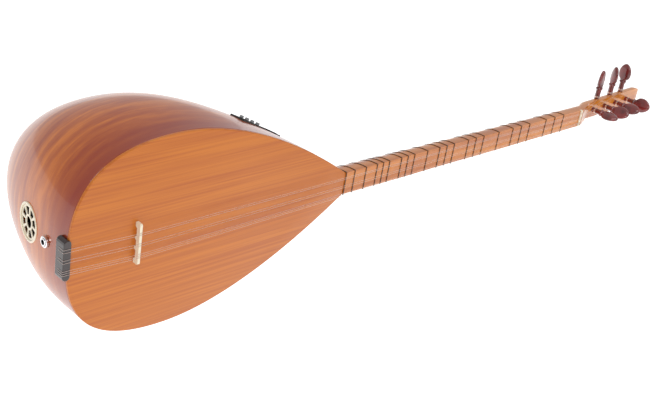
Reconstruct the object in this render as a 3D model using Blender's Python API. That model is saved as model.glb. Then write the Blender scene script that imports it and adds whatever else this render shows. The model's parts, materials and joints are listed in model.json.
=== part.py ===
"""Long-necked electro-acoustic saz: carved bowl, flat soundboard, tied frets, seven pegs.

Metres. +X runs from the tail along the neck to the peghead, +Z is the bass side, and the soundboard
faces -Y. The origin is the front edge of the nut, on the centre line of the fingerboard's face.
"""
import math

import bmesh
import bpy
import numpy as np
from mathutils import Matrix, Vector

# Driving dimensions
SCALE_LENGTH = 0.880
BRIDGE_TO_TAIL = 0.090
BOARD_LENGTH = 0.420
BOARD_HALF_WIDTH = 0.125
BOARD_WIDEST = 0.140
BOARD_THICK = 0.0035
BOWL_DEPTH = 0.262
BOWL_DEEPEST = 0.152
BOWL_WALL = 0.0055
BOWL_BULGE = 0.072
HOLLOW_END = 0.360
GAP = 0.0003
NECK_WIDTH_JOINT = 0.0320
NECK_WIDTH_NUT = 0.0286
NECK_DEPTH_JOINT = 0.0370
NECK_DEPTH_NUT = 0.0260
NECK_END = 0.0095
NUT_THICK = 0.0045
NUT_TOP = -0.0018
BRIDGE_TOP = -0.0090
STRING_RADIUS = 0.0002
FRET_WIDTH = 0.0016
FRET_HEIGHT = 0.0008
HEAD_LENGTH = 0.221
RAMP_END = 0.055
RAMP_DEPTH = 0.0150
HEAD_TILT = math.radians(2.7)
HEAD_THICK = 0.018
HEAD_WIDTH = 0.0280
PEG_REACH = 0.050
PEG_SHANK = 0.0044
FRONT_PEG_X = (0.0640, 0.1015, 0.1380, 0.1750)
SIDE_PEG_X = (0.0830, 0.1265, 0.1630)
SIDE_PEG_DEPTH = 0.0080
HOLE_DEPTH_ON_TAIL = 0.093
HOLE_RADIUS = 0.0205
RING_RADIUS = 0.0240
JACK_DEPTH_ON_TAIL = 0.046
PREAMP_SIZE = (0.070, 0.026)
PREAMP_PHI = math.radians(31.0)
PREAMP_THETA = math.radians(54.0)
TAIL_X = -SCALE_LENGTH - BRIDGE_TO_TAIL
JOINT_X = TAIL_X + BOARD_LENGTH
RIM_Y = BOARD_THICK + GAP

# Frequency ratios of the tied frets, open string first
FRET_RATIOS = (18 / 17, 12 / 11, 9 / 8, 81 / 68, 27 / 22, 81 / 64, 4 / 3, 24 / 17, 16 / 11, 3 / 2, 27 / 17,
               18 / 11, 27 / 16, 16 / 9, 32 / 17, 64 / 33, 2, 36 / 17, 24 / 11, 9 / 4, 81 / 34, 81 / 32, 8 / 3)

# String places across the nut, bridge and tail, bass to treble
STRINGS_AT_NUT = (0.0100, 0.0080, 0.0012, -0.0012, -0.0072, -0.0090, -0.0108)
STRINGS_AT_BRIDGE = (0.0150, 0.0125, 0.0015, -0.0015, -0.0120, -0.0145, -0.0170)
STRINGS_AT_TAIL = (0.0148, 0.0112, 0.0018, -0.0018, -0.0118, -0.0145, -0.0172)

COLOURS = {
    "carved_wood": ((0.45, 0.13, 0.02), 0.2, 0.0),
    "board_wood": ((0.55, 0.20, 0.04), 0.25, 0.0),
    "brace_wood": ((0.70, 0.50, 0.28), 0.6, 0.0),
    "neck_wood": ((0.60, 0.27, 0.06), 0.25, 0.0),
    "bone": ((0.85, 0.78, 0.62), 0.35, 0.0),
    "dark_wood": ((0.03, 0.01, 0.01), 0.3, 0.0),
    "peg_wood": ((0.20, 0.03, 0.03), 0.25, 0.0),
    "steel": ((0.75, 0.68, 0.66), 0.25, 1.0),
    "chrome": ((0.80, 0.80, 0.80), 0.1, 1.0),
    "black_plastic": ((0.02, 0.02, 0.02), 0.4, 0.0),
    "fret_line": ((0.10, 0.05, 0.03), 0.4, 0.0),
}


def clear_scene():
    """Remove what a new file holds."""
    for item in list(bpy.data.objects):
        bpy.data.objects.remove(item, do_unlink=True)


def material(name):
    """Principled material of one of the named colours."""
    found = bpy.data.materials.get(name)
    if found:
        return found
    made = bpy.data.materials.new(name)
    made.use_nodes = True
    shader = made.node_tree.nodes["Principled BSDF"]
    colour, rough, metal = COLOURS[name]
    shader.inputs["Base Color"].default_value = (*colour, 1.0)
    shader.inputs["Roughness"].default_value = rough
    shader.inputs["Metallic"].default_value = metal
    return made


def add_object(name, bm, finish, smooth=False):
    """Turn a bmesh into a named object with outward faces."""
    bmesh.ops.remove_doubles(bm, verts=bm.verts, dist=1e-6)
    bmesh.ops.recalc_face_normals(bm, faces=bm.faces)
    mesh = bpy.data.meshes.new(name)
    bm.to_mesh(mesh)
    bm.free()
    mesh.materials.append(material(finish))
    if smooth:
        mesh.shade_smooth()
        mesh.set_sharp_from_angle(angle=math.radians(40))
    made = bpy.data.objects.new(name, mesh)
    bpy.context.collection.objects.link(made)
    return made


def cut(target, tool):
    """Take one solid out of another; the cutter stays hidden."""
    tool.hide_render = True
    tool.display_type = "WIRE"
    step = target.modifiers.new("cut_" + tool.name, "BOOLEAN")
    step.operation = "DIFFERENCE"
    step.solver = "EXACT"
    step.object = tool


def loft(rings):
    """Closed solid through rings of equal point counts, with its two end rings capped."""
    bm = bmesh.new()
    rows = [[bm.verts.new(point) for point in ring] for ring in rings]
    for lower, upper in zip(rows, rows[1:]):
        for i, vert in enumerate(lower):
            j = (i + 1) % len(lower)
            bm.faces.new((vert, lower[j], upper[j], upper[i]))
    bm.faces.new(rows[0])
    bm.faces.new(rows[-1])
    return bm


def prism(outline, low, high, place):
    """Outline carried from low to high; place turns (a, b, height) into a point."""
    return loft([[place(a, b, low) for a, b in outline], [place(a, b, high) for a, b in outline]])


def box(low, high):
    """Plain box between two corners."""
    outline = [(low[0], low[1]), (high[0], low[1]), (high[0], high[1]), (low[0], high[1])]
    return prism(outline, low[2], high[2], lambda a, b, h: (a, b, h))


def turned(profile, sides, place):
    """Ring of revolution: profile pairs (along, radius) round an axis; place gives the point."""
    bm = bmesh.new()
    rings = []
    for i in range(sides):
        turn = 2 * math.pi * i / sides
        rings.append([bm.verts.new(place(along, radius * math.cos(turn), radius * math.sin(turn)))
                      for along, radius in profile])
    for i in range(sides):
        here, there = rings[i], rings[(i + 1) % sides]
        for k in range(len(profile)):
            m = (k + 1) % len(profile)
            bm.faces.new((here[k], here[m], there[m], there[k]))
    return bm


def disc(radius, sides):
    """Points of a circle."""
    turns = [2 * math.pi * i / sides for i in range(sides)]
    return [(radius * math.cos(turn), radius * math.sin(turn)) for turn in turns]


def bezier(points, count):
    """Points along one cubic Bezier curve."""
    a, b, c, d = (np.array(point) for point in points)
    t = np.linspace(0, 1, count)[:, None]
    return (1 - t) ** 3 * a + 3 * (1 - t) ** 2 * t * b + 3 * (1 - t) * t * t * c + t ** 3 * d


def board_curve(count):
    """Half outline of the soundboard from tail to neck: distance from the tail, half width."""
    wide, half, end = BOARD_WIDEST, BOARD_HALF_WIDTH, NECK_WIDTH_JOINT / 2
    round_tail = bezier(((0, 0), (0, 0.636 * half), (0.252 * wide, half), (wide, half)), count)
    lean, reach = 0.593, 0.123
    to_neck = bezier(((wide, half), (wide + 0.28 * (BOARD_LENGTH - wide), half),
                      (BOARD_LENGTH - reach * math.cos(lean), end + reach * math.sin(lean)),
                      (BOARD_LENGTH, end)), count)
    return np.vstack((round_tail, to_neck[1:]))


def keel_curve(count):
    """Centre line of the bowl's back from tail to neck: distance from the tail, depth."""
    deep, low, heel = BOWL_DEEPEST, BOWL_DEPTH, NECK_DEPTH_JOINT
    tail = bezier(((0, 0), (0.005, 0.674 * low), (0.297 * deep, low), (deep, low)), count)
    lean, reach = 0.613, 0.105
    to_neck = bezier(((deep, low), (deep + 0.469 * (BOARD_LENGTH - deep), low),
                      (BOARD_LENGTH - reach * math.cos(lean), heel + reach * math.sin(lean)),
                      (BOARD_LENGTH, heel)), count)
    return np.vstack((tail, to_neck[1:]))


def polar(curve, phi):
    """Radius of a curve about the widest place, at the angle phi from the neck side."""
    angle = np.arctan2(curve[:, 1], curve[:, 0] - BOARD_WIDEST)
    radius = np.hypot(curve[:, 1], curve[:, 0] - BOARD_WIDEST)
    order = np.argsort(angle)
    return np.interp(phi, angle[order], radius[order])


def bowl_point(phi, theta, inset=0.0, rim=RIM_Y):
    """Bowl surface: an ellipse from soundboard edge to keel in each plane through the long axis.

    phi turns from the neck (0) to the tail (pi), theta from the treble edge to the bass edge.
    """
    edge = polar(board_curve(160), phi)
    keel = polar(keel_curve(160), phi)
    side, down = np.abs(np.sin(theta)), np.abs(np.cos(theta))
    swell = 1 + BOWL_BULGE * (2 * side * down) ** 2 * np.sin(phi) ** 2
    radius = ((side / edge) ** 2 + (down / keel) ** 2) ** -0.5 * swell - inset
    along = BOARD_WIDEST + radius * np.cos(phi)
    depth = radius * np.sin(phi) * np.cos(theta)
    depth = rim + depth * (BOWL_DEPTH - rim) / BOWL_DEPTH
    return np.stack((TAIL_X + along, depth, radius * np.sin(phi) * np.sin(theta)), -1)


def bowl_solid(inset, end, rim, rows, columns):
    """Closed solid under the bowl surface, cut square at a distance end from the tail."""
    dense = np.linspace(0.0, math.pi, 900)
    lines = []
    for theta in np.linspace(-math.pi / 2, math.pi / 2, columns + 1):
        line = bowl_point(dense, theta, inset, rim)
        first = np.interp(-(TAIL_X + end), -line[:, 0], dense)
        share = np.linspace(0, 1, rows + 1) ** 0.9
        lines.append(bowl_point(first + (math.pi - first) * share, theta, inset, rim))
        lines[-1][0, 0] = TAIL_X + end
    bm = bmesh.new()
    tail = bm.verts.new(lines[0][-1])
    grid = [[bm.verts.new(point) for point in line[:-1]] for line in lines]
    for left, right in zip(grid, grid[1:]):
        for k in range(rows - 1):
            bm.faces.new((left[k], left[k + 1], right[k + 1], right[k]))
        bm.faces.new((left[-1], tail, right[-1]))
    bm.faces.new([line[0] for line in grid])
    bm.faces.new(grid[0] + [tail] + grid[-1][::-1])
    return bm


def neck_ring(x, width, depth, power, front=0.0, slant=0.0, points=13):
    """D-shaped section: flat front, superelliptic back."""
    turns = np.linspace(0, math.pi, points)
    across = width / 2 * np.sign(np.cos(turns)) * np.abs(np.cos(turns)) ** (2 / power)
    back = front + depth * np.abs(np.sin(turns)) ** (2 / power)
    return [(x + slant * float(y), float(y), float(z)) for y, z in zip(back, across)]


def neck_size(x):
    """Width, depth and section power of the neck at x."""
    share = min(max(-x / -JOINT_X, 0.0), 1.0)
    width = NECK_WIDTH_NUT + (NECK_WIDTH_JOINT - NECK_WIDTH_NUT) * share
    depth = NECK_DEPTH_NUT + (NECK_DEPTH_JOINT - NECK_DEPTH_NUT) * share ** 1.6
    return width, depth, 2.8 - 0.8 * share


def head_front(x):
    """Depth of the peghead's face behind the fingerboard's plane."""
    if x < RAMP_END:
        return RAMP_DEPTH * math.sin(math.pi / 2 * x / RAMP_END)
    return RAMP_DEPTH + (x - RAMP_END) * math.tan(HEAD_TILT)


def anchor_outline(margin):
    """Stadium outline of the tail anchor in X and Z."""
    radius = 0.00475 + margin
    centre, reach = TAIL_X - 0.00125, 0.0205
    turns = [math.pi * i / 6 for i in range(7)]
    upper = [(centre + radius * math.cos(turn), reach + radius * math.sin(turn)) for turn in turns]
    lower = [(centre - radius * math.cos(turn), -reach - radius * math.sin(turn)) for turn in turns]
    return upper + lower


def tail_surface(depth):
    """X of the tail wall on the centre line, and its lean, at a depth below the soundboard."""
    phi = np.linspace(math.pi / 2, math.pi, 600)
    line = bowl_point(phi, 0.0)
    order = np.argsort(line[:, 1])
    y, x = line[order, 1], line[order, 0]
    here, ahead = np.interp(depth, y, x), np.interp(depth + 0.002, y, x)
    return float(here), math.atan2(float(ahead - here), 0.002)


def hole_place(along, a, b):
    """Point at a distance along the sound hole's outward axis, a across it in Y, b in Z."""
    x, lean = tail_surface(HOLE_DEPTH_ON_TAIL)
    out = Vector((-math.cos(lean), math.sin(lean), 0))
    up = Vector((math.sin(lean), math.cos(lean), 0))
    return Vector((x, HOLE_DEPTH_ON_TAIL, 0)) + out * along + up * a + Vector((0, 0, b))


def preamp_frame():
    """Centre, long axis, cross axis and outward normal of the preamp on the bowl's bass flank."""
    centre = Vector(bowl_point(PREAMP_PHI, PREAMP_THETA))
    step = 0.01
    along = Vector(bowl_point(PREAMP_PHI - step, PREAMP_THETA)) - centre
    round_keel = Vector(bowl_point(PREAMP_PHI, PREAMP_THETA + step)) - centre
    normal = along.cross(round_keel).normalized()
    if normal.z < 0:
        normal = -normal
    flat = Vector((1, 0, 0))
    long_axis = (flat - normal * flat.dot(normal)).normalized()
    return centre, long_axis, normal.cross(long_axis), normal


def preamp_box(name, finish, low, high, frame):
    """Box in the preamp's own frame: along, across, outward."""
    centre, long_axis, cross, normal = frame
    outline = [(low[0], low[1]), (high[0], low[1]), (high[0], high[1]), (low[0], high[1])]
    bm = prism(outline, low[2], high[2], lambda a, b, h: centre + long_axis * a + cross * b + normal * h)
    return add_object(name, bm, finish)


def make_bowl(frame):
    """Carved bowl: one block hollowed from the front, with its heel left solid for the neck."""
    bowl = add_object("bowl", bowl_solid(0.0, BOARD_LENGTH, RIM_Y, 26, 20), "carved_wood", True)
    cut(bowl, add_object("bowl_hollow", bowl_solid(BOWL_WALL, HOLLOW_END, -0.010, 18, 14), "brace_wood"))
    cut(bowl, add_object("anchor_seat", anchor_prism(GAP), "brace_wood"))
    mortise = box((JOINT_X - 0.0503, -0.01, -0.0083), (JOINT_X + 0.01, 0.0243, 0.0083))
    cut(bowl, add_object("neck_mortise", mortise, "brace_wood"))
    seat = prism(disc(RING_RADIUS + 0.0006, 24), -0.0020, 0.0120, lambda a, b, h: hole_place(h, a, b))
    cut(bowl, add_object("ring_seat", seat, "brace_wood"))
    hole = prism(disc(HOLE_RADIUS, 24), -0.0250, 0.0050, lambda a, b, h: hole_place(h, a, b))
    cut(bowl, add_object("hole_cutter", hole, "brace_wood"))
    jack = prism(disc(0.0051, 16), TAIL_X - 0.01, TAIL_X + 0.02,
                 lambda a, b, h: (h, JACK_DEPTH_ON_TAIL + a, b))
    cut(bowl, add_object("jack_hole", jack, "brace_wood"))
    half, side = PREAMP_SIZE[0] / 2 + GAP, PREAMP_SIZE[1] / 2 + GAP
    cut(bowl, preamp_box("preamp_window", "brace_wood", (-half, -side, -0.030), (half, side, 0.020), frame))


def anchor_prism(margin):
    """Solid of the tail anchor, grown by a margin."""
    return prism(anchor_outline(margin), -0.0020, 0.0140 + margin, lambda a, b, h: (a, h, b))


def make_board():
    """Flat soundboard with a rounded edge, and the two cross braces under it."""
    curve = board_curve(16)
    curve[-1, 0] = BOARD_LENGTH
    upper = [(TAIL_X + float(x), float(z)) for x, z in curve]
    lower = [(x, -z) for x, z in upper[:0:-1]]
    board = add_object("soundboard", prism(upper + lower, 0.0, BOARD_THICK, lambda a, b, h: (a, h, b)),
                       "board_wood")
    cut(board, add_object("board_notch", prism(anchor_outline(GAP), -0.01, 0.02, lambda a, b, h: (a, h, b)),
                          "brace_wood"))
    edge = board.modifiers.new("rounded_edge", "BEVEL")
    edge.width = 0.0010
    edge.segments = 2
    edge.limit_method = "ANGLE"
    edge.angle_limit = math.radians(60)
    for name, x in (("brace_lower", 0.170), ("brace_upper", 0.262)):
        half = float(np.interp(x, curve[:, 0], curve[:, 1])) - 0.014
        outline = [(-half, RIM_Y), (half, RIM_Y), (half - 0.012, RIM_Y + 0.012), (0.012 - half, RIM_Y + 0.012)]
        bm = prism(outline, TAIL_X + x, TAIL_X + x + 0.007, lambda a, b, h: (h, b, a))
        add_object(name, bm, "brace_wood")


def make_neck():
    """Neck with a flat playing face, a tenon for the bowl's heel and a slanted splice at the head."""
    rings = [[(JOINT_X - 0.0500, y, z) for y, z in ((0.0042, 0.008), (0.018, 0.008), (0.018, -0.008),
                                                     (0.0042, -0.008))],
             [(JOINT_X + 0.0040, y, z) for y, z in ((0.0042, 0.008), (0.024, 0.008), (0.024, -0.008),
                                                     (0.0042, -0.008))]]
    tenon = add_object("tenon_core", loft(rings), "neck_wood")
    tenon.hide_render = True
    tenon.display_type = "WIRE"
    stations = [JOINT_X + GAP, -0.50, -0.40, -0.30, -0.20, -0.10, -0.03, 0.0]
    body = [neck_ring(x, *neck_size(x)) for x in stations]
    body.append(neck_ring(NECK_END, *neck_size(0.0), slant=0.8))
    neck = add_object("neck", loft(body), "neck_wood", True)
    join = neck.modifiers.new("tenon", "BOOLEAN")
    join.operation = "UNION"
    join.object = tenon
    cut(neck, add_object("nut_slot", box((-GAP, -0.01, -0.03), (NUT_THICK + GAP, 0.0030, 0.03)), "bone"))


def make_head():
    """Peghead spliced on behind the nut: a scooped ramp and a straight face with seven peg holes."""
    rings = [neck_ring(NECK_END + GAP, *neck_size(0.0), front=0.0, slant=0.8)]
    for x in (0.045, RAMP_END, 0.080, 0.120, 0.165, 0.205):
        rings.append(neck_ring(x, HEAD_WIDTH, HEAD_THICK, 2.6, front=head_front(x)))
    for x, share in ((0.2135, 0.90), (0.2185, 0.72), (HEAD_LENGTH, 0.40)):
        rings.append(neck_ring(x, HEAD_WIDTH * share, HEAD_THICK * (0.6 + 0.4 * share), 2.6,
                               front=head_front(x) + 0.004 * (1 - share)))
    head = add_object("peghead", loft(rings), "neck_wood", True)
    for i, x in enumerate(FRONT_PEG_X):
        hole = prism(disc(PEG_SHANK + 0.0005, 16), -0.02, 0.08, lambda a, b, h: (x + a, h, b))
        cut(head, add_object("front_hole_%d" % (i + 1), hole, "neck_wood"))
    for i, x in enumerate(SIDE_PEG_X):
        y = head_front(x) + SIDE_PEG_DEPTH
        hole = prism(disc(PEG_SHANK + 0.0005, 16), -0.03, 0.03, lambda a, b, h: (x + a, y + b, h))
        cut(head, add_object("side_hole_%d" % (i + 1), hole, "neck_wood"))


def comb_outline(half, top, foot, places, arches):
    """Bridge or nut seen along the neck: notches under the strings and arches between its feet."""
    points = [(half, foot), (half, top + 0.0012), (half - 0.0012, top)]
    for z in places:
        points += [(z + 0.0005, top), (z, top + 0.0006), (z - 0.0005, top)]
    points += [(-half + 0.0012, top), (-half, top + 0.0012), (-half, foot)]
    for low, high in arches:
        rise = abs(top - foot) * 0.35
        points += [(low, foot), (low + 0.002, foot - rise), (high - 0.002, foot - rise), (high, foot)]
    return points


def make_nut_and_bridge():
    """Bone nut in its slot, and the thin bridge on its feet."""
    nut = comb_outline(NECK_WIDTH_NUT / 2, NUT_TOP, 0.0027, STRINGS_AT_NUT, ())
    add_object("nut", prism(nut, 0.0, NUT_THICK, lambda a, b, h: (h, b, a)), "bone")
    bridge = comb_outline(0.0260, BRIDGE_TOP, -GAP, STRINGS_AT_BRIDGE,
                          ((-0.021, -0.0075), (-0.0055, 0.0055), (0.0075, 0.021)))
    add_object("bridge", prism(bridge, -SCALE_LENGTH - 0.0035, -SCALE_LENGTH, lambda a, b, h: (h, b, a)), "bone")


def make_tail_fittings():
    """String anchor, sound-hole ring with its fretwork, and the jack."""
    anchor = add_object("string_anchor", anchor_prism(0.0), "dark_wood")
    edge = anchor.modifiers.new("eased_edges", "BEVEL")
    edge.width = 0.0008
    edge.segments = 2
    edge.limit_method = "ANGLE"
    edge.angle_limit = math.radians(60)
    ring = turned([(-0.0017, 0.0212), (0.0003, 0.0212), (0.0008, 0.0220), (0.0008, 0.0232), (0.0003, RING_RADIUS),
                   (-0.0017, RING_RADIUS)], 28, hole_place)
    add_object("rosette_ring", ring, "bone", True)
    add_object("rosette_fretwork", fretwork(), "bone")
    x = TAIL_X
    sleeve = [(x - 0.0025, 0.0033), (x - 0.0025, 0.0047), (x + 0.0100, 0.0047), (x + 0.0100, 0.0080),
              (x + 0.0130, 0.0080), (x + 0.0130, 0.0047), (x + 0.0260, 0.0047), (x + 0.0260, 0.0033)]
    along_x = lambda along, a, b: (along, JACK_DEPTH_ON_TAIL + a, b)
    add_object("jack_sleeve", turned(sleeve, 16, along_x), "chrome", True)
    nut = [(x - 0.0018, 0.0051), (x - 0.0018, 0.0062), (x - 0.0012, 0.0069), (x + 0.0008, 0.0069),
           (x + 0.0008, 0.0051)]
    add_object("jack_nut", turned(nut, 24, along_x), "chrome", True)


def fretwork():
    """Eight arms between an inner ring and an outer ring, as one flat star lattice."""
    inner, middle, outer, arms = 0.0070, 0.0095, 0.0208, 8
    low, high = -0.0017, -0.0005
    steps = 4 * arms
    turns = [2 * math.pi * i / steps for i in range(steps)]
    bm = bmesh.new()

    def circle(radius, height):
        return [bm.verts.new(hole_place(height, radius * math.cos(t), radius * math.sin(t))) for t in turns]

    levels = [[circle(radius, height) for height in (low, high)] for radius in (inner, middle, 0.0188, outer)]
    for i in range(steps):
        j = (i + 1) % steps
        arm = i % 4 == 0
        for k in range(3):
            solid = k != 1 or arm
            for level, flip in ((0, False), (1, True)):
                near, far = levels[k][level], levels[k + 1][level]
                if solid:
                    face = (near[i], near[j], far[j], far[i])
                    bm.faces.new(face[::-1] if flip else face)
        for k, inside in ((0, True), (3, True), (1, not arm), (2, not arm)):
            if inside:
                below, above = levels[k]
                bm.faces.new((below[i], below[j], above[j], above[i]))
        if arm:
            for side in (i, j):
                bm.faces.new((levels[1][0][side], levels[2][0][side], levels[2][1][side], levels[1][1][side]))
    return bm


def make_preamp(frame):
    """Panel let into the bass flank, its housing, four sliders and the battery drawer."""
    half, side = PREAMP_SIZE[0] / 2, PREAMP_SIZE[1] / 2
    panel = preamp_box("preamp_panel", "black_plastic", (-half, -side, -0.0035), (half, side, 0.0012), frame)
    housing = preamp_box("preamp_housing", "black_plastic", (-half + 0.002, -side + 0.002, -0.0240),
                         (half - 0.002, side - 0.002, -0.0038), frame)
    drawer_low, drawer_high = (0.0110, -0.0095, -0.0220), (0.0310, 0.0095, 0.0018)
    for target, name in ((panel, "drawer_bay_front"), (housing, "drawer_bay_back")):
        low = [value - GAP for value in drawer_low]
        high = [value + GAP for value in drawer_high]
        cut(target, preamp_box(name, "black_plastic", low, high, frame))
    preamp_box("battery_drawer", "black_plastic", drawer_low, drawer_high, frame)
    centre, long_axis, cross, normal = frame
    for i in range(4):
        along = -0.028 + 0.010 * i
        cut(panel, preamp_box("slider_slot_%d" % (i + 1), "black_plastic", (along - 0.0012, -0.0095, -0.0020),
                              (along + 0.0012, 0.0095, 0.0030), frame))
        stem, cap = 0.0008, 0.0021
        outline = [(-stem, -0.0015), (stem, -0.0015), (stem, 0.0016), (cap, 0.0016), (cap * 0.8, 0.0044),
                   (-cap * 0.8, 0.0044), (-cap, 0.0016), (-stem, 0.0016)]
        bm = prism(outline, -0.0018, 0.0018,
                   lambda a, b, h: centre + long_axis * (along + a) + normal * b + cross * h)
        add_object("slider_%d" % (i + 1), bm, "black_plastic")


def peg_rings(depth, start):
    """Sections of a peg: height, half width, half thickness; its string's winding is a sleeve at start."""
    wound = PEG_SHANK + 2 * STRING_RADIUS
    return [(-depth, 0.0036, 0.0036), (0.0, 0.0042, 0.0042), (start, 0.0043, 0.0043),
            (start + 0.0002, wound, wound), (start + 0.0030, wound, wound), (start + 0.0032, 0.0043, 0.0043),
            (0.0150, PEG_SHANK, PEG_SHANK),
            (0.0175, 0.0062, 0.0060), (0.0200, 0.0052, 0.0050), (0.0240, 0.0098, 0.0050),
            (0.0300, 0.0122, 0.0048), (0.0390, 0.0118, 0.0042), (0.0460, 0.0078, 0.0034),
            (PEG_REACH, 0.0026, 0.0018)]


def make_peg(name, base, axis, across, depth, turn, start):
    """Peg with its origin on its own axis, at the peghead's surface, turned by its tuning angle."""
    side = axis.cross(across)
    rings = []
    for height, wide, thick in peg_rings(depth, start):
        ring = []
        for i in range(12):
            spin = 2 * math.pi * i / 12
            a, b = wide * math.cos(spin), thick * math.sin(spin)
            ring.append(axis * height + across * (a * math.cos(turn) - b * math.sin(turn))
                        + side * (a * math.sin(turn) + b * math.cos(turn)))
        rings.append(ring)
    peg = add_object(name, loft(rings), "peg_wood", True)
    peg.location = base


def peg_places():
    """Each peg's number, base on the peghead, axis, cross direction, shank depth and string order."""
    places = []
    for i, x in enumerate(SIDE_PEG_X):
        base = Vector((x, head_front(x) + SIDE_PEG_DEPTH, HEAD_WIDTH / 2))
        places.append(("peg_side_%d" % (i + 1), base, Vector((0, 0, 1)), Vector((1, 0, 0)), 0.0285, i))
    for i, x in enumerate(FRONT_PEG_X):
        base = Vector((x, head_front(x), 0.0))
        places.append(("peg_front_%d" % (i + 1), base, Vector((0, -1, 0)), Vector((1, 0, 0)), 0.0190, 3 + i))
    return places


def string_end(order):
    """Where a string meets its peg's winding."""
    name, base, axis, across, depth, number = peg_places()[order]
    away = PEG_SHANK + 2 * STRING_RADIUS + 2 * GAP + STRING_RADIUS
    if name.startswith("peg_side"):
        return base + axis * 0.0034 + Vector((0, -away, 0))
    return base + axis * 0.0062 + Vector((0, 0, -away))


def make_strings():
    """Seven strings from the tail anchor over the bridge and the nut to the pegs."""
    rest = GAP + STRING_RADIUS
    for number, z in enumerate(STRINGS_AT_TAIL):
        name = "string_%d" % (number + 1)
        curve = bpy.data.curves.new(name, "CURVE")
        curve.dimensions = "3D"
        curve.bevel_depth = STRING_RADIUS
        curve.bevel_resolution = 1
        curve.use_fill_caps = True
        route = [(TAIL_X - 0.0060 - rest, 0.0080, z), (TAIL_X - 0.0060 - rest, -0.0019, z),
                 (TAIL_X - 0.0059, -0.0020 - rest, z), (TAIL_X + 0.0030, -0.0022 - rest, z),
                 (-SCALE_LENGTH - 0.00175, BRIDGE_TOP - rest, STRINGS_AT_BRIDGE[number]),
                 (NUT_THICK / 2, NUT_TOP - rest, STRINGS_AT_NUT[number]),
                 tuple(string_end(number))]
        line = curve.splines.new("POLY")
        line.points.add(len(route) - 1)
        for point, place in zip(line.points, route):
            point.co = (*place, 1.0)
        curve.materials.append(material("steel"))
        made = bpy.data.objects.new(name, curve)
        bpy.context.collection.objects.link(made)


def make_frets():
    """Tied frets: each a band of line round the neck, placed by its frequency ratio."""
    for i, ratio in enumerate(FRET_RATIOS):
        x = max(-SCALE_LENGTH * (1 - 1 / ratio), JOINT_X + 0.0015)
        width, depth, power = neck_size(x)
        bm = bmesh.new()
        rows = []
        for edge, grow in ((-0.5, GAP), (-0.4, GAP + FRET_HEIGHT), (0.4, GAP + FRET_HEIGHT), (0.5, GAP)):
            ring = neck_ring(x + edge * FRET_WIDTH, width + 2 * grow, depth + 2 * grow, power, -grow, points=14)
            rows.append([bm.verts.new(point) for point in ring])
        for lower, upper in zip(rows, rows[1:] + rows[:1]):
            for k in range(len(lower)):
                m = (k + 1) % len(lower)
                bm.faces.new((lower[k], lower[m], upper[m], upper[k]))
        add_object("fret_%02d" % (i + 1), bm, "fret_line")


def make_pegs():
    """Seven pegs, each at its own tuning angle."""
    turns = (0.3, 0.9, 1.45, 0.2, 0.7, 0.5, 1.2)
    for (name, base, axis, across, depth, number), turn in zip(peg_places(), turns):
        start = 0.0020 if name.startswith("peg_side") else 0.0048
        make_peg(name, base, axis, across, depth, turn, start)


def main():
    clear_scene()
    frame = preamp_frame()
    make_bowl(frame)
    make_board()
    make_neck()
    make_head()
    make_nut_and_bridge()
    make_tail_fittings()
    make_preamp(frame)
    make_pegs()
    make_strings()
    make_frets()


main()
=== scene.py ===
import json
import math

import bmesh
import bpy
import numpy as np
from mathutils import Matrix, Vector

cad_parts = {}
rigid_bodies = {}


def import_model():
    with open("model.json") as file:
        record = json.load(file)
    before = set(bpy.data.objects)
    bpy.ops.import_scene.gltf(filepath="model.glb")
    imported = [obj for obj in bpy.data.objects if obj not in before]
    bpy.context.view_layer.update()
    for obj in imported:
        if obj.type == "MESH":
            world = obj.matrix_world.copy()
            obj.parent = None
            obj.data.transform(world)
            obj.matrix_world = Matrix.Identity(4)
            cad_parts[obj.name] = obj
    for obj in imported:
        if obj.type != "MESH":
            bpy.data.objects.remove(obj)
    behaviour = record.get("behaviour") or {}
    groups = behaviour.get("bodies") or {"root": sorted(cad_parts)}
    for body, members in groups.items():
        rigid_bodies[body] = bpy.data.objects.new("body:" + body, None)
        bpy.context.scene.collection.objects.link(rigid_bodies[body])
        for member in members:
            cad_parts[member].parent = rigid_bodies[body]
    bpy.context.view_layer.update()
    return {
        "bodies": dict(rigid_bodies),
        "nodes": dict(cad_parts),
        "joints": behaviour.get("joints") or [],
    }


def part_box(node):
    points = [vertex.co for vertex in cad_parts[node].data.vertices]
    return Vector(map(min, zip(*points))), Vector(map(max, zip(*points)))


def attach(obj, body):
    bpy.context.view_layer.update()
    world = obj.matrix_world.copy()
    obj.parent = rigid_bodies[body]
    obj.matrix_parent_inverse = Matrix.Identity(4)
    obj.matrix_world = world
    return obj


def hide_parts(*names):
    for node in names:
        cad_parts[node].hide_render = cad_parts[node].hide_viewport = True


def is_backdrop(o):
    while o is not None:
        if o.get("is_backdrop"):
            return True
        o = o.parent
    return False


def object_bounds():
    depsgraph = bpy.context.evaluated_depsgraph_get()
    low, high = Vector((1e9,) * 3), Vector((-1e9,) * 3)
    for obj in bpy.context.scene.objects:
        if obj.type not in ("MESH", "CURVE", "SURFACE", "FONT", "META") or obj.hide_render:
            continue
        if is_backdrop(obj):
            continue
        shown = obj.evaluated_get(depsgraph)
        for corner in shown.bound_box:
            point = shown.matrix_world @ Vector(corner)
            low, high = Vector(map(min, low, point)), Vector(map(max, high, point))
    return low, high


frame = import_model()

bl_info = {
    "name": "Long-necked saz",
    "version": (1, 0, 0),
    "blender": (4, 5, 0),
    "location": "View3D > Sidebar > Saz",
    "description": "Finished surfaces and materials of a long-necked saz",
    "category": "Add Mesh",
}

BODY = "instrument"
PEGS = [name for name in frame["bodies"] if name.startswith("peg_")]
JOINTS = {joint["child"]: joint for joint in frame["joints"]}

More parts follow.
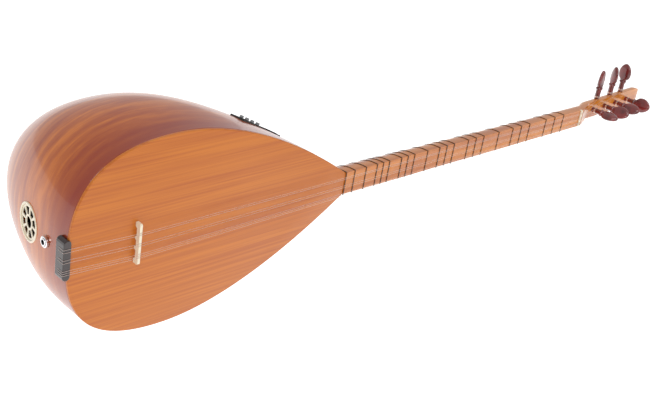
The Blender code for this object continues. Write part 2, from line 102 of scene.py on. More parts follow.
# The camera, from the perspective of the fret places; the picture is 650 by 400
CAMERA_PLACE = (-1.5377, -0.8774, 0.6159)
CAMERA_RIGHT = (0.7202, -0.6776, 0.1489)
CAMERA_UP = (0.2066, 0.4144, 0.8863)
CAMERA_BACK = (-0.6622, -0.6076, 0.4384)
CAMERA_LENS = 60.76
SENSOR_WIDTH = 36.0

# Lamps: name, place, power in watts, width
LAMPS = (("lamp_left", (-2.6, -2.2, 2.4), 26.0, 1.4), ("lamp_top", (0.4, -0.8, 2.8), 22.0, 1.8))
LAMP_AIM = (-0.6, 0, 0)

# Floor: half its width, and how far it lies under the instrument
FLOOR_REACH = 30.0
FLOOR_DROP = 0.35

# Frequency ratios of the tied frets, open string first
FRET_RATIOS = (18 / 17, 12 / 11, 9 / 8, 81 / 68, 27 / 22, 81 / 64, 4 / 3, 24 / 17, 16 / 11, 3 / 2,
               27 / 17, 18 / 11, 27 / 16, 16 / 9, 32 / 17, 64 / 33, 2, 36 / 17, 24 / 11, 9 / 4,
               81 / 34, 81 / 32, 8 / 3)

# Angle at which each peg was left by tuning, in radians
PEG_TURNS = {"peg_side_1": 0.3, "peg_side_2": 0.9, "peg_side_3": 1.45, "peg_front_1": 0.2, "peg_front_2": 0.7,
             "peg_front_3": 0.5, "peg_front_4": 1.2}

# Clearances, in metres
GAP = 0.0003
BOX_MARGIN = 0.00003

# Bowl: how far it swells at mid height, and how many quads it has along and around
BOWL_SWELL = 0.0714
BOWL_ROWS = 260
BOWL_COLUMNS = 230
CURVE_POINTS = 400
DENSE_POINTS = 1500

# Cut-outs of the bowl: radii of the sound hole and jack hole, half sizes of the preamp's window
SOUND_HOLE = 0.0222
JACK_HOLE = 0.0050
WINDOW_HALF = (0.0335, 0.0115)
WINDOW_SIDE = 0.03
TAIL_REACH = 0.03

# Soundboard's rounded edge: how far in and how far down
BOARD_EDGE = ((0.0012, 0.0), (0.0006, 0.0002), (0.00015, 0.0007), (0.0, 0.0013))

# Neck and peghead
SECTION_POINTS = 49
NUT_END = 0.0095
CUT_SLOPE = 0.8
RAMP_DEPTH = 0.0150
RAMP_END = 0.055
HEAD_TILT = math.radians(2.7)
HEAD_POWER = 2.6
HEAD_START = 0.045
HEAD_ROUND = 0.016
HEAD_TIP = 0.38

# Tied frets: lines side by side, the clearance under them and their points round the neck and across it
TURN_SHIFTS = (-0.0005, 0.0, 0.0005)
LINE_LIFT = 0.0002
BACK_POINTS = 40
FRONT_POINTS = 10
WIRE_SIDES = 6

# Pegs: sections as height, half width and half thickness, above the peg's tail
PEG_SIDES = 36
PEG_TAIL = (0.0036, 0.0036)
PEG_SECTIONS = ((0.0, 0.0042, 0.0042), (0.0150, 0.0044, 0.0044), (0.0165, 0.0050, 0.0050),
                (0.0178, 0.0062, 0.0060), (0.0192, 0.0058, 0.0056), (0.0205, 0.0050, 0.0048),
                (0.0225, 0.0072, 0.0049), (0.0255, 0.0106, 0.0050), (0.0300, 0.0122, 0.0048),
                (0.0345, 0.0124, 0.0046), (0.0390, 0.0116, 0.0042), (0.0430, 0.0098, 0.0038),
                (0.0465, 0.0070, 0.0032), (0.0490, 0.0040, 0.0022), (0.0500, 0.0014, 0.0008))
SIDE_PEG_DEPTH = 0.0285
FRONT_PEG_DEPTH = 0.0190

# Windings on the shanks
COIL_TURNS = 7
COIL_STEPS = 24
COIL_PITCH = 0.00042
COIL_RADIUS = 0.00455
SIDE_COIL_START = 0.0020
FRONT_COIL_START = 0.0048


def length(name, text, value):
    """A size in metres."""
    return bpy.props.FloatProperty(name=name, description=text, default=value, unit="LENGTH", precision=5)


def colour(name, text, value):
    """A surface colour."""
    return bpy.props.FloatVectorProperty(name=name, description=text, default=value, subtype="COLOR", size=3,
                                         min=0.0, max=1.0)


class SazSizes(bpy.types.PropertyGroup):
    """Sizes of the instrument."""

    scale_length: length("Scale length", "Nut to bridge", 0.880)
    tail_length: length("Tail length", "Bridge to tail", 0.090)
    board_length: length("Board length", "Soundboard along the strings", 0.420)
    board_half: length("Board half width", "Half of the soundboard's width", 0.125)
    board_widest: length("Widest place", "Tail to the widest place", 0.140)
    board_thick: length("Board thickness", "Soundboard thickness", 0.0035)
    bowl_depth: length("Bowl depth", "Soundboard to the back of the bowl", 0.262)
    bowl_deepest: length("Deepest place", "Tail to the deepest place", 0.152)
    wall: length("Wall", "Bowl wall", 0.0045)
    neck_nut: length("Neck at the nut", "Width of the neck at the nut", 0.0286)
    neck_joint: length("Neck at the body", "Width of the neck at the body", 0.0320)
    depth_nut: length("Neck depth at the nut", "Depth of the neck at the nut", 0.0260)
    depth_joint: length("Neck depth at the body", "Depth of the neck at the body", 0.0370)
    head_length: length("Peghead length", "Nut to the end of the peghead", 0.221)
    head_width: length("Peghead width", "Width of the peghead", 0.0280)
    head_thick: length("Peghead thickness", "Thickness of the peghead", 0.018)
    line: length("Fret line", "Radius of the tied fret line", 0.00027)
    string: length("String", "Radius of the wound string", 0.0002)


class SazColours(bpy.types.PropertyGroup):
    """Colours of the finishes."""

    honey: colour("Honey", "Middle of the bowl", (0.62, 0.16, 0.004))
    grain: colour("Grain", "Dark growth rings of the bowl", (0.36, 0.055, 0.002))
    burst: colour("Burst", "Red shading at the rim of the bowl", (0.24, 0.014, 0.001))
    board: colour("Board", "Soundboard", (0.58, 0.165, 0.006))
    board_dark: colour("Board grain", "Dark streaks of the soundboard", (0.46, 0.105, 0.004))
    neck: colour("Neck", "Neck and peghead", (0.68, 0.22, 0.012))
    neck_dark: colour("Neck grain", "Dark grain of the neck", (0.45, 0.11, 0.006))
    peg: colour("Peg", "Pegs", (0.22, 0.020, 0.018))
    bone: colour("Bone", "Nut, bridge and rosette", (0.86, 0.76, 0.58))
    ebony: colour("Dark wood", "String anchor", (0.022, 0.006, 0.006))
    steel: colour("Steel", "Strings", (0.83, 0.68, 0.62))


def sizes():
    """The sizes that the scene holds."""
    return bpy.context.scene.saz_sizes


def colours():
    """The colours that the scene holds."""
    return bpy.context.scene.saz_colours


def bezier(points, count):
    """Cubic Bezier: the four points weighted by the Bernstein terms of t."""
    a, b, c, d = (np.array(point, float) for point in points)
    t = np.linspace(0, 1, count)[:, None]
    return (1 - t) ** 3 * a + 3 * (1 - t) ** 2 * t * b + 3 * (1 - t) * t * t * c + t ** 3 * d


def board_curve(count):
    """Half outline of the soundboard, two Bezier curves from tail to neck: distance, half width."""
    s = sizes()
    wide, half, end, total = s.board_widest, s.board_half, s.neck_joint / 2, s.board_length
    tail = bezier(((0, 0), (0, 0.636 * half), (0.252 * wide, half), (wide, half)), count)
    lean, reach = 0.593, 0.123
    neck = bezier(((wide, half), (wide + 0.28 * (total - wide), half),
                   (total - reach * math.cos(lean), end + reach * math.sin(lean)), (total, end)), count)
    return np.vstack((tail, neck[1:]))


def keel_curve(count):
    """Centre line of the bowl's back, two Bezier curves from tail to neck: distance, depth."""
    s = sizes()
    deep, low, heel, total = s.bowl_deepest, s.bowl_depth, s.depth_joint, s.board_length
    tail = bezier(((0, 0), (0.005, 0.674 * low), (0.297 * deep, low), (deep, low)), count)
    lean, reach = 0.613, 0.105
    neck = bezier(((deep, low), (deep + 0.469 * (total - deep), low),
                   (total - reach * math.cos(lean), heel + reach * math.sin(lean)), (total, heel)), count)
    return np.vstack((tail, neck[1:]))


def polar(curve, phi):
    """Radius of a curve about the widest place, at the angle phi from the neck side."""
    away = curve[:, 0] - sizes().board_widest
    angle, radius = np.arctan2(curve[:, 1], away), np.hypot(curve[:, 1], away)
    order = np.argsort(angle)
    return np.interp(phi, angle[order], radius[order])


def bowl_surface(phi, theta):
    """Bowl: in each plane through the long axis an ellipse from the board's edge to the keel.

    The radius is (sin^2/edge^2 + cos^2/keel^2) to the power -1/2, swollen a little at mid height;
    phi runs from the neck to the tail, theta from the treble edge to the bass edge.
    """
    s = sizes()
    edge, keel = polar(board_curve(CURVE_POINTS), phi), polar(keel_curve(CURVE_POINTS), phi)
    side, down = np.abs(np.sin(theta)), np.abs(np.cos(theta))
    swell = 1 + BOWL_SWELL * (2 * side * down) ** 2 * np.sin(phi) ** 2
    radius = ((side / edge) ** 2 + (down / keel) ** 2) ** -0.5 * swell
    rim = s.board_thick + GAP
    fitted = (s.bowl_depth - rim - BOX_MARGIN) / s.bowl_depth
    depth = rim + radius * np.sin(phi) * np.cos(theta) * fitted
    along = tail_x() + s.board_widest + radius * np.cos(phi)
    return np.stack((along, depth, radius * np.sin(phi) * np.sin(theta)), -1)


def tail_x():
    """X of the tail."""
    return -sizes().scale_length - sizes().tail_length


def joint_x():
    """X of the neck joint."""
    return tail_x() + sizes().board_length


def d_section(width, depth, power, front, count):
    """Flat front and superelliptic back: |z/half|^p + (y/depth)^p = 1."""
    turns = np.linspace(0, np.pi, count)
    z = width / 2 * np.sign(np.cos(turns)) * np.abs(np.cos(turns)) ** (2 / power)
    y = front + depth * np.abs(np.sin(turns)) ** (2 / power)
    return y, z


def neck_size(x):
    """Width, depth and section power of the neck at x."""
    s = sizes()
    share = min(max(-x / (s.scale_length + s.tail_length - s.board_length), 0.0), 1.0)
    return (s.neck_nut + (s.neck_joint - s.neck_nut) * share,
            s.depth_nut + (s.depth_joint - s.depth_nut) * share ** 1.6, 2.8 - 0.8 * share)


def head_front(x):
    """Depth of the peghead's face behind the fingerboard's plane."""
    if x < RAMP_END:
        return RAMP_DEPTH * math.sin(math.pi / 2 * x / RAMP_END)
    return RAMP_DEPTH + (x - RAMP_END) * math.tan(HEAD_TILT)


def mesh_piece(name, points, faces, finish, body=BODY):
    """Make a smooth mesh object from points and faces, and let it ride on a body."""
    mesh = bpy.data.meshes.new(name)
    mesh.from_pydata(np.asarray(points, float).reshape(-1, 3), [], faces)
    mesh.update()
    mesh.shade_smooth()
    mesh.set_sharp_from_angle(angle=math.radians(38))
    mesh.materials.append(finish)
    made = bpy.data.objects.new(name, mesh)
    bpy.context.scene.collection.objects.link(made)
    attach(made, body)
    return made


def ring_faces(rows, count, first=0, caps=True):
    """Quads of a tube of rows rings, each of count points, with its ends capped."""
    k, i = np.meshgrid(np.arange(rows - 1), np.arange(count), indexing="ij")
    j = (i + 1) % count
    quads = np.stack((k * count + i, k * count + j, (k + 1) * count + j, (k + 1) * count + i), -1)
    faces = (quads.reshape(-1, 4) + first).tolist()
    if caps:
        faces.append([first + i for i in range(count)][::-1])
        faces.append([first + (rows - 1) * count + i for i in range(count)])
    return faces


def outward(made):
    """Join doubled points and turn the faces one way, outwards on a closed mesh."""
    bm = bmesh.new()
    bm.from_mesh(made.data)
    bmesh.ops.remove_doubles(bm, verts=bm.verts, dist=1e-7)
    bmesh.ops.recalc_face_normals(bm, faces=bm.faces)
    bm.to_mesh(made.data)
    bm.free()


def tube(path, radius, sides, closed=False):
    """Round tube: at each path point a circle square to the path, in its two cross directions."""
    path = np.asarray(path, float)
    if closed:
        run = np.roll(path, -1, 0) - np.roll(path, 1, 0)
    else:
        run = np.gradient(path, axis=0)
    run /= np.linalg.norm(run, axis=1)[:, None]
    guide = np.where(np.abs(run[:, :1]) > 0.8, np.array([[0, 0, 1.0]]), np.array([[1.0, 0, 0]]))
    one = np.cross(run, guide)
    one /= np.linalg.norm(one, axis=1)[:, None]
    two = np.cross(run, one)
    turn = np.linspace(0, 2 * np.pi, sides, endpoint=False)
    ring = one[:, None] * np.cos(turn)[None, :, None] + two[:, None] * np.sin(turn)[None, :, None]
    return path[:, None] + radius * ring


def node(nodes, kind, **values):
    """Add a shader node and set its plain properties."""
    made = nodes.new(kind)
    for key, value in values.items():
        setattr(made, key, value)
    return made


def wood(name, light, dark, stretch, scale, rough, coat, burst=None, rings=None):
    """Wood under lacquer: noise stretched along the grain mixes light and dark, with pores in the bump."""
    made = bpy.data.materials.new(name)
    made.use_nodes = True
    nodes, links = made.node_tree.nodes, made.node_tree.links
    shader = nodes["Principled BSDF"]
    shader.inputs["Roughness"].default_value = rough
    shader.inputs["Coat Weight"].default_value = coat
    shader.inputs["Coat Roughness"].default_value = 0.06
    place = node(nodes, "ShaderNodeTexCoord")
    mapping = node(nodes, "ShaderNodeMapping")
    mapping.inputs["Scale"].default_value = stretch
    links.new(place.outputs["Object"], mapping.inputs["Vector"])
    grain = node(nodes, "ShaderNodeTexNoise")
    grain.inputs["Scale"].default_value = scale
    grain.inputs["Detail"].default_value = 6.0
    grain.inputs["Roughness"].default_value = 0.6
    links.new(mapping.outputs["Vector"], grain.inputs["Vector"])
    ramp = node(nodes, "ShaderNodeValToRGB")
    ramp.color_ramp.elements[0].position = 0.36
    ramp.color_ramp.elements[1].position = 0.62
    ramp.color_ramp.elements[0].color = (*dark, 1)
    ramp.color_ramp.elements[1].color = (*light, 1)
    links.new(grain.outputs["Fac"], ramp.inputs["Fac"])
    result = ramp.outputs["Color"]
    if rings:
        wave = node(nodes, "ShaderNodeTexWave", wave_type="BANDS", bands_direction="Y")
        wave.inputs["Scale"].default_value = rings
        wave.inputs["Distortion"].default_value = 5.0
        wave.inputs["Detail"].default_value = 3.0
        wave.inputs["Detail Scale"].default_value = 1.6
        links.new(place.outputs["Object"], wave.inputs["Vector"])
        mix = node(nodes, "ShaderNodeMix", data_type="RGBA", blend_type="MIX")
        fade = node(nodes, "ShaderNodeMath", operation="MULTIPLY")
        fade.inputs[1].default_value = 0.45
        links.new(wave.outputs["Fac"], fade.inputs[0])
        links.new(fade.outputs[0], mix.inputs[0])
        links.new(result, mix.inputs[6])
        mix.inputs[7].default_value = (*dark, 1)
        result = mix.outputs[2]
    if burst:
        result = shade_burst(nodes, links, place, result, burst)
    links.new(result, shader.inputs["Base Color"])
    bump = node(nodes, "ShaderNodeBump")
    bump.inputs["Strength"].default_value = 0.08
    bump.inputs["Distance"].default_value = 0.0004
    links.new(grain.outputs["Fac"], bump.inputs["Height"])
    links.new(bump.outputs["Normal"], shader.inputs["Normal"])
    return made


def shade_burst(nodes, links, place, result, burst):
    """Red shading that fades from the rim into the bowl with depth."""
    split = node(nodes, "ShaderNodeSeparateXYZ")
    links.new(place.outputs["Object"], split.inputs[0])
    fade = node(nodes, "ShaderNodeMapRange", interpolation_type="SMOOTHSTEP")
    fade.inputs["From Min"].default_value = 0.0
    fade.inputs["From Max"].default_value = 0.085
    fade.inputs["To Min"].default_value = 0.85
    fade.inputs["To Max"].default_value = 0.0
    links.new(split.outputs["Y"], fade.inputs["Value"])
    mix = node(nodes, "ShaderNodeMix", data_type="RGBA")
    links.new(fade.outputs[0], mix.inputs[0])
    links.new(result, mix.inputs[6])
    mix.inputs[7].default_value = (*burst, 1)
    return mix.outputs[2]


def plain(name, tint, rough, metal=0.0, coat=0.0, mottle=0.12, scale=90.0):
    """Solid finish with a faint cloudy variation in colour and roughness, and a fine bump."""
    made = bpy.data.materials.new(name)
    made.use_nodes = True
    nodes, links = made.node_tree.nodes, made.node_tree.links
    shader = nodes["Principled BSDF"]
    shader.inputs["Metallic"].default_value = metal
    shader.inputs["Coat Weight"].default_value = coat
    place = node(nodes, "ShaderNodeTexCoord")
    cloud = node(nodes, "ShaderNodeTexNoise")
    cloud.inputs["Scale"].default_value = scale
    cloud.inputs["Detail"].default_value = 5.0
    links.new(place.outputs["Object"], cloud.inputs["Vector"])
    ramp = node(nodes, "ShaderNodeValToRGB")
    ramp.color_ramp.elements[0].color = (*(c * (1 - 2 * mottle) for c in tint), 1)
    ramp.color_ramp.elements[1].color = (*(min(1.0, c * (1 + mottle)) for c in tint), 1)
    links.new(cloud.outputs["Fac"], ramp.inputs["Fac"])
    links.new(ramp.outputs["Color"], shader.inputs["Base Color"])
    span = node(nodes, "ShaderNodeMapRange")
    span.inputs["To Min"].default_value = max(rough - 0.06, 0.02)
    span.inputs["To Max"].default_value = rough + 0.06
    links.new(cloud.outputs["Fac"], span.inputs["Value"])
    links.new(span.outputs[0], shader.inputs["Roughness"])
    bump = node(nodes, "ShaderNodeBump")
    bump.inputs["Strength"].default_value = 0.05
    bump.inputs["Distance"].default_value = 0.0003
    links.new(cloud.outputs["Fac"], bump.inputs["Height"])
    links.new(bump.outputs["Normal"], shader.inputs["Normal"])
    return made


def finish_node(name, finish):
    """Give a carried CAD node its finish."""
    mesh = frame["nodes"][name].data
    mesh.materials.clear()
    mesh.materials.append(finish)


class SAZ_OT_bowl(bpy.types.Operator):
    """Carved bowl with its sound hole, jack hole and preamp window."""

    bl_idname = "saz.bowl"
    bl_label = "Bowl"

    def execute(self, context):
        c = colours()
        dense = np.linspace(0.0, np.pi, DENSE_POINTS)
        share = np.linspace(0, 1, BOWL_ROWS + 1) ** 0.9
        grid = []
        for theta in np.linspace(-np.pi / 2, np.pi / 2, BOWL_COLUMNS + 1):
            line = bowl_surface(dense, theta)
            first = np.interp(-joint_x(), -line[:, 0], dense)
            grid.append(bowl_surface(first + (np.pi - first) * share, theta))
        grid = np.array(grid)
        grid[:, 0, 0] = joint_x()
        count = BOWL_ROWS + 1
        a, k = np.meshgrid(np.arange(BOWL_COLUMNS), np.arange(BOWL_ROWS), indexing="ij")
        near, far = a * count + k, (a + 1) * count + k
        quads = np.stack((near, near + 1, far + 1, far), -1)
        keep = ~opened((grid[:-1, :-1] + grid[1:, 1:]) / 2)
        finish = wood("lacquered_bowl", tuple(c.honey), tuple(c.grain), (1.5, 14.0, 1.5), 6.0, 0.28, 0.45,
                      tuple(c.burst), 18.0)
        made = mesh_piece("carved_bowl", grid, quads[keep].tolist(), finish)
        outward(made)
        if not points_out(made):
            made.data.flip_normals()
        wall = made.modifiers.new("wall", "SOLIDIFY")
        wall.thickness = sizes().wall
        wall.offset = -1.0
        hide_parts("bowl")
        return {"FINISHED"}


def points_out(made):
    """Whether the shell's faces point away from the sound chamber."""
    centre = Vector((tail_x() + sizes().board_widest, 0.09, 0.0))
    total = sum((face.center - centre).dot(face.normal) for face in list(made.data.polygons)[::50])
    return total > 0


def opened(middle):
    """Where the bowl is cut: near the sound hole's axis, the jack's axis and in the preamp window."""
    low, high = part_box("rosette_ring")
    hole = np.array((low + high) / 2)
    around = np.linalg.norm((middle - hole) * (0.25, 1, 1), axis=-1) < SOUND_HOLE
    at_tail = middle[..., 0] < tail_x() + TAIL_REACH
    low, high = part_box("jack_nut")
    jack = np.array((low + high) / 2)
    small = np.hypot(middle[..., 1] - jack[1], middle[..., 2] - jack[2]) < JACK_HOLE
    centre, long_axis, cross = preamp_axes()
    away = middle - centre
    along, across = np.abs(away @ long_axis), np.abs(away @ cross)
    window = (along < WINDOW_HALF[0]) & (across < WINDOW_HALF[1]) & (middle[..., 2] > WINDOW_SIDE)
    return ((around | small) & at_tail) | window


def preamp_axes():
    """Centre, long axis and cross axis of the preamp, from its joints."""
    normal = np.array(JOINTS["battery_drawer"]["axis"], float)
    cross = np.array(JOINTS["slider_1"]["axis"], float)
    low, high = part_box("preamp_panel")
    return np.array((low + high) / 2), np.cross(cross, normal), cross


class SAZ_OT_board(bpy.types.Operator):
    """Flat soundboard with a rounded edge."""

    bl_idname = "saz.board"
    bl_label = "Soundboard"

    def execute(self, context):
        s, c = sizes(), colours()
        curve = board_curve(120)
        upper = np.stack((tail_x() + curve[:, 0], curve[:, 1]), -1)
        outline = np.vstack((upper, (upper * (1, -1))[:0:-1]))
        centre = np.array((tail_x() + 0.17, 0.0))
        rings = []
        away = centre - outline
        inwards = away / np.linalg.norm(away, axis=1)[:, None]
        for inset, y in (*BOARD_EDGE, (0.0, s.board_thick)):
            ring = outline + inwards * inset
            rings.append(np.stack((ring[:, 0], np.full(len(ring), y), ring[:, 1]), -1))
        grain = (0.5, 1.0, 40.0)
        finish = wood("lacquered_board", tuple(c.board), tuple(c.board_dark), grain, 7.0, 0.42, 0.15)
        faces = ring_faces(len(rings), len(outline))
        made = mesh_piece("lacquered_soundboard", np.array(rings), faces, finish)
        outward(made)
        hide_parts("soundboard")
        return {"FINISHED"}


class SAZ_OT_neck(bpy.types.Operator):
    """Neck and peghead with smooth backs."""

    bl_idname = "saz.neck"
    bl_label = "Neck and peghead"

    def execute(self, context):
        s, c = sizes(), colours()
        finish = wood("lacquered_neck", tuple(c.neck), tuple(c.neck_dark), (0.5, 8.0, 8.0), 8.0, 0.28, 0.6)
        rows = []
        for x in np.linspace(joint_x() + GAP, 0.0, 60):
            y, z = d_section(*neck_size(x), 0.0, SECTION_POINTS)
            rows.append(np.stack((np.full(SECTION_POINTS, x), y, z), -1))
        y, z = d_section(*neck_size(0.0), 0.0, SECTION_POINTS)
        rows.append(np.stack((NUT_END + CUT_SLOPE * y, y, z), -1))
        made = mesh_piece("slim_neck", np.array(rows), ring_faces(len(rows), SECTION_POINTS), finish)
        outward(made)
        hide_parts("neck")
        rows = [np.stack((NUT_END + GAP + CUT_SLOPE * y, y, z), -1)]
        last = s.head_length
        straight = np.linspace(HEAD_START, 0.205, 50)
        rounded = last - HEAD_ROUND * np.cos(np.linspace(0.1, np.pi / 2, 15))
        for x in np.concatenate((straight, rounded)):
            share = 1.0
            if x > last - HEAD_ROUND:
                bend = (x - last + HEAD_ROUND) / 0.0161
                share = math.sqrt(max(1 - bend ** 2, 0.02)) * (1 - HEAD_TIP) + HEAD_TIP
            depth = s.head_thick * (0.6 + 0.4 * share)
            front = head_front(x) + 0.004 * (1 - share)
            y, z = d_section(s.head_width * share, depth, HEAD_POWER, front, SECTION_POINTS)
            rows.append(np.stack((np.full(SECTION_POINTS, x), y, z), -1))
        head = mesh_piece("smooth_peghead", np.array(rows), ring_faces(len(rows), SECTION_POINTS), finish)
        outward(head)
        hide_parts("peghead")
        return {"FINISHED"}


class SAZ_OT_frets(bpy.types.Operator):
    """Tied frets: three closed turns of line side by side round the neck, without their knots."""

    bl_idname = "saz.frets"
    bl_label = "Tied frets"

    def execute(self, context):
        s = sizes()
        finish = plain("fret_line_finish", (0.060, 0.026, 0.014), 0.35, coat=0.3)
        for number, ratio in enumerate(FRET_RATIOS):
            x = max(-s.scale_length * (1 - 1 / ratio), joint_x() + 0.0015)
            width, depth, power = neck_size(x)
            points, faces = [], []
            grow = s.line + LINE_LIFT
            back_y, back_z = d_section(width + 2 * grow, depth + 2 * grow, power, -grow, BACK_POINTS)
            front_z = np.linspace(back_z[-1], back_z[0], FRONT_POINTS + 2)[1:-1]
            y = np.concatenate((back_y, np.full(FRONT_POINTS, -grow)))
            z = np.concatenate((back_z, front_z))
            for shift in TURN_SHIFTS:
                path = np.stack((np.full(len(y), x + shift), y, z), -1)
                ring = tube(path, s.line, WIRE_SIDES, closed=True)
                first = len(points)
                last = first + (len(path) - 1) * WIRE_SIDES
                points.extend(ring.reshape(-1, 3))
                faces.extend(ring_faces(len(path), WIRE_SIDES, first, caps=False))
                for i in range(WIRE_SIDES):
                    j = (i + 1) % WIRE_SIDES
                    faces.append([last + i, last + j, first + j, first + i])
            made = mesh_piece("tied_fret_%02d" % (number + 1), points, faces, finish)
            outward(made)
            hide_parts("fret_%02d" % (number + 1))
        return {"FINISHED"}


class SAZ_OT_pegs(bpy.types.Operator):
    """Pegs with flat heads, and the string wound on each shank."""

    bl_idname = "saz.pegs"
    bl_label = "Pegs"

    def execute(self, context):
        c = colours()
        dark = tuple(v * 0.45 for v in c.peg)
        finish = wood("peg_finish", tuple(c.peg), dark, (1.0, 1.0, 1.0), 60.0, 0.22, 0.8)
        wire = plain("wound_string", tuple(c.steel), 0.3, metal=0.9)
        for name in PEGS:
            joint = JOINTS[name]
            base, axis = np.array(joint["pos_m"], float), np.array(joint["axis"], float)
            across = np.array((1.0, 0, 0))
            side = np.cross(axis, across)
            points = peg_points(name, base, axis, across, side)
            peg = mesh_piece("turned_" + name, points, ring_faces(len(points), PEG_SIDES), finish, name)
            outward(peg)
            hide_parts(name)
            path = coil_path(name, base, axis, across, side)
            coil = tube(path, sizes().string, WIRE_SIDES)
            made = mesh_piece("winding_" + name, coil, ring_faces(len(path), WIRE_SIDES), wire, name)
            outward(made)
        return {"FINISHED"}


def peg_points(name, base, axis, across, side):
    """Surface of a peg: in each section an ellipse, turned by the peg's tuning angle about its axis."""
    turn = PEG_TURNS[name]
    stations = peg_stations(SIDE_PEG_DEPTH if "side" in name else FRONT_PEG_DEPTH)
    spin = np.linspace(0, 2 * np.pi, PEG_SIDES, endpoint=False)
    a, b = stations[:, 1:2] * np.cos(spin), stations[:, 2:3] * np.sin(spin)
    one = a * math.cos(turn) - b * math.sin(turn)
    two = a * math.sin(turn) + b * math.cos(turn)
    return base + stations[:, 0, None, None] * axis + one[..., None] * across + two[..., None] * side


def coil_path(name, base, axis, across, side):
    """Helix on a shank: a circle about the axis that climbs one pitch with each turn."""
    start = SIDE_COIL_START if "side" in name else FRONT_COIL_START
    t = np.linspace(0, COIL_TURNS * 2 * np.pi, COIL_TURNS * COIL_STEPS + 1)
    climb = (start + COIL_PITCH * t / (2 * np.pi))[:, None]
    circle = np.cos(t)[:, None] * across + np.sin(t)[:, None] * side
    return base + axis * climb + circle * COIL_RADIUS


def peg_stations(depth):
    """Sections along a peg, on straight lines between the few turned ones."""
    few = np.array(((-depth, *PEG_TAIL), *PEG_SECTIONS))
    heights = np.concatenate((few[:3, 0], np.linspace(few[3, 0], few[-1, 0], 60)))
    return np.stack([np.interp(heights, few[:, 0], few[:, column]) for column in range(3)], -1)


class SAZ_OT_fittings(bpy.types.Operator):
    """Finishes of the pieces shown as built: bone, anchor, rosette, jack, preamp, braces, strings."""

    bl_idname = "saz.fittings"
    bl_label = "Fittings"

    def execute(self, context):
        c = colours()
        bone = plain("polished_bone", tuple(c.bone), 0.32, coat=0.4, mottle=0.08)
        dark = tuple(v * 0.4 for v in c.ebony)
        ebony = wood("dark_anchor", tuple(c.ebony), dark, (20, 20, 2), 20.0, 0.25, 0.6)
        chrome = plain("plated_metal", (0.86, 0.86, 0.87), 0.10, metal=1.0, mottle=0.02)
        plastic = plain("black_moulding", (0.018, 0.018, 0.019), 0.42, mottle=0.2, scale=400.0)
        knob = plain("slider_cap", (0.30, 0.30, 0.31), 0.35, mottle=0.1, scale=400.0)
        steel = plain("string_wire", tuple(c.steel), 0.28, metal=0.85, mottle=0.05)
        brace = wood("bare_brace", (0.66, 0.46, 0.25), (0.50, 0.32, 0.15), (8, 8, 1), 12.0, 0.7, 0.0)
        for name in frame["nodes"]:
            if name in ("nut", "bridge", "rosette_ring", "rosette_fretwork"):
                finish_node(name, bone)
            elif name == "string_anchor":
                finish_node(name, ebony)
            elif name.startswith("jack"):
                finish_node(name, chrome)
            elif name.startswith("preamp") or name == "battery_drawer":
                finish_node(name, plastic)
            elif name.startswith("slider"):
                finish_node(name, knob)
            elif name.startswith("string_"):
                finish_node(name, steel)
            elif name.startswith("brace"):
                finish_node(name, brace)
        return {"FINISHED"}


class SAZ_OT_stage(bpy.types.Operator):
    """Pale floor, soft lamps, white surroundings and the camera."""

    bl_idname = "saz.stage"
    bl_label = "Stage"

    def execute(self, context):
        scene = context.scene
        scene.view_settings.view_transform = "Standard"
        add_floor(scene)
        scene.world = white_surroundings()
        for name, place, power, wide in LAMPS:
            add_lamp(scene, name, place, power, wide)
        add_camera(scene)
        return {"FINISHED"}


def add_floor(scene):
    """One large square under the instrument."""
    low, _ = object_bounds()
    reach, level = FLOOR_REACH, low[2] - FLOOR_DROP
    mesh = bpy.data.meshes.new("floor")
    corners = [(-reach, -reach, level), (reach, -reach, level), (reach, reach, level), (-reach, reach, level)]
    mesh.from_pydata(corners, [], [(0, 1, 2, 3)])
    mesh.materials.append(floor_finish())
    floor = bpy.data.objects.new("floor", mesh)
    scene.collection.objects.link(floor)
    floor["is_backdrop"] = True


def white_surroundings():
    """A white world, full white to the camera and dimmer as a light."""
    world = bpy.data.worlds.new("white_surroundings")
    world.use_nodes = True
    nodes, links = world.node_tree.nodes, world.node_tree.links
    back = nodes["Background"]
    back.inputs["Color"].default_value = (1, 1, 1, 1)
    path = node(nodes, "ShaderNodeLightPath")
    seen = node(nodes, "ShaderNodeMapRange")
    seen.inputs["To Min"].default_value = 0.58
    seen.inputs["To Max"].default_value = 1.0
    links.new(path.outputs["Is Camera Ray"], seen.inputs["Value"])
    links.new(seen.outputs[0], back.inputs["Strength"])
    return world


def add_lamp(scene, name, place, power, wide):
    """A square lamp that faces the body of the instrument."""
    lamp = bpy.data.lights.new(name, "AREA")
    lamp.energy = power
    lamp.size = wide
    made = bpy.data.objects.new(name, lamp)
    aim = (Vector(LAMP_AIM) - Vector(place)).to_track_quat("-Z", "Y")
    made.matrix_world = Matrix.Translation(place) @ aim.to_matrix().to_4x4()
    scene.collection.objects.link(made)


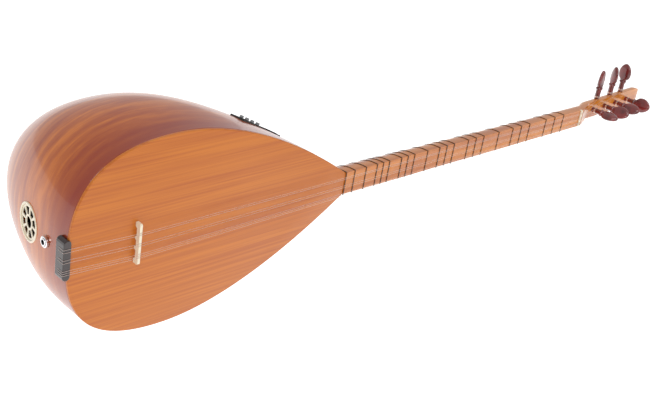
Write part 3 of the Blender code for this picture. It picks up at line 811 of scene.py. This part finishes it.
def add_camera(scene):
    """The camera at the photograph's viewing angle."""
    camera = bpy.data.cameras.new("camera")
    camera.lens = CAMERA_LENS
    camera.sensor_width = SENSOR_WIDTH
    made = bpy.data.objects.new("camera", camera)
    turn = Matrix((CAMERA_RIGHT, CAMERA_UP, CAMERA_BACK)).transposed().to_quaternion().to_matrix()
    made.matrix_world = Matrix.Translation(CAMERA_PLACE) @ turn.to_4x4()
    scene.collection.objects.link(made)
    scene.camera = made


def floor_finish():
    """Pale floor that glows a little, so that it stays white."""
    made = bpy.data.materials.new("pale_floor")
    made.use_nodes = True
    shader = made.node_tree.nodes["Principled BSDF"]
    shader.inputs["Base Color"].default_value = (0.92, 0.92, 0.92, 1)
    shader.inputs["Roughness"].default_value = 0.9
    shader.inputs["Emission Color"].default_value = (1, 1, 1, 1)
    shader.inputs["Emission Strength"].default_value = 0.62
    return made


OPERATORS = (SAZ_OT_bowl, SAZ_OT_board, SAZ_OT_neck, SAZ_OT_frets, SAZ_OT_pegs, SAZ_OT_fittings, SAZ_OT_stage)


class SAZ_PT_panel(bpy.types.Panel):
    """Buttons for the saz's pieces."""

    bl_idname = "SAZ_PT_panel"
    bl_label = "Saz"
    bl_space_type = "VIEW_3D"
    bl_region_type = "UI"
    bl_category = "Saz"

    def draw(self, context):
        for operator in OPERATORS:
            self.layout.operator(operator.bl_idname)


def register():
    """Register the classes and hang the sizes and colours on the scene."""
    for group in (SazSizes, SazColours, *OPERATORS, SAZ_PT_panel):
        bpy.utils.register_class(group)
    bpy.types.Scene.saz_sizes = bpy.props.PointerProperty(type=SazSizes)
    bpy.types.Scene.saz_colours = bpy.props.PointerProperty(type=SazColours)


def unregister():
    """Undo register."""
    del bpy.types.Scene.saz_colours
    del bpy.types.Scene.saz_sizes
    for group in (SAZ_PT_panel, *OPERATORS[::-1], SazColours, SazSizes):
        bpy.utils.unregister_class(group)


def main():
    """Build every piece."""
    register()
    bpy.ops.saz.bowl()
    bpy.ops.saz.board()
    bpy.ops.saz.neck()
    bpy.ops.saz.frets()
    bpy.ops.saz.pegs()
    bpy.ops.saz.fittings()
    bpy.ops.saz.stage()


if __name__ == "__main__":
    main()
